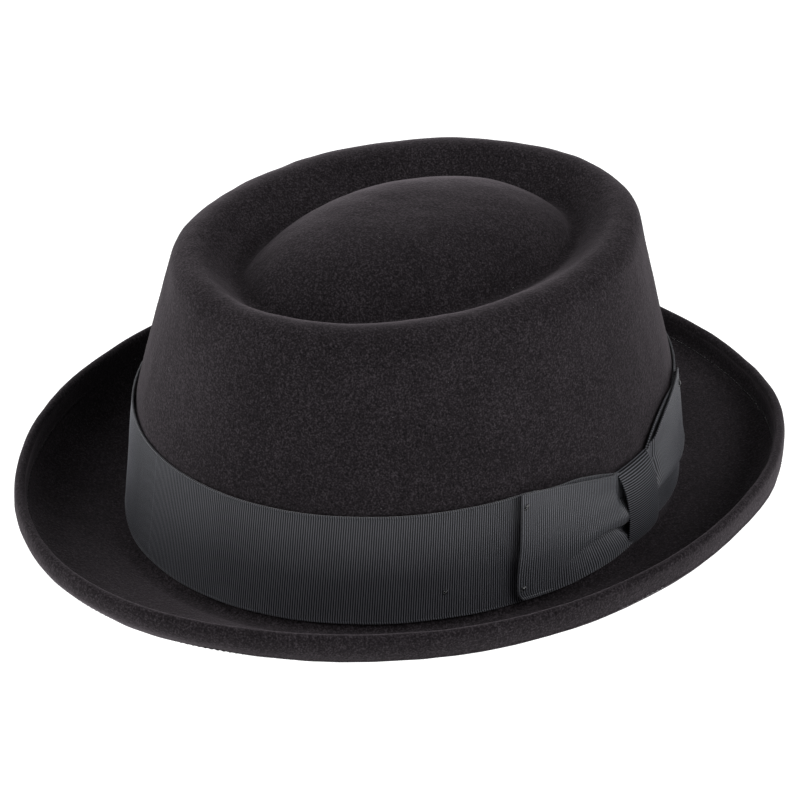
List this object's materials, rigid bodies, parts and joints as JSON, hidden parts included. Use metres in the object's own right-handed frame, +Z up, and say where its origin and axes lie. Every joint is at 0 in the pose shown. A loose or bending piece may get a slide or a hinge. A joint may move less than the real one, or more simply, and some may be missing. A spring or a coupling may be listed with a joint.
{
  "type": "porkpie hat",
  "caption": "Felt porkpie hat with a telescoped oval crown, a short upturned welted brim, and a ribbon band with a flat bow and knot on the wearer's left.",
  "frame": {"origin": "middle of the hat's bounding box, at the flat ring of felt it rests on", "axes": "+Z up, the front of the hat toward -Y, the wearer's left and the bow toward +X"},
  "size_m": [0.2314, 0.2824, 0.1125],
  "materials": {
    "felt": "black wool felt, matt, short fuzzy nap",
    "ribbon": "black grosgrain ribbon, fine cross ribs, soft satin sheen"
  },
  "bodies": {
    "root": {"felt_body": "felt", "hat_band": "ribbon", "bow": "ribbon", "bow_knot": "ribbon"}
  },
  "joints": []
}
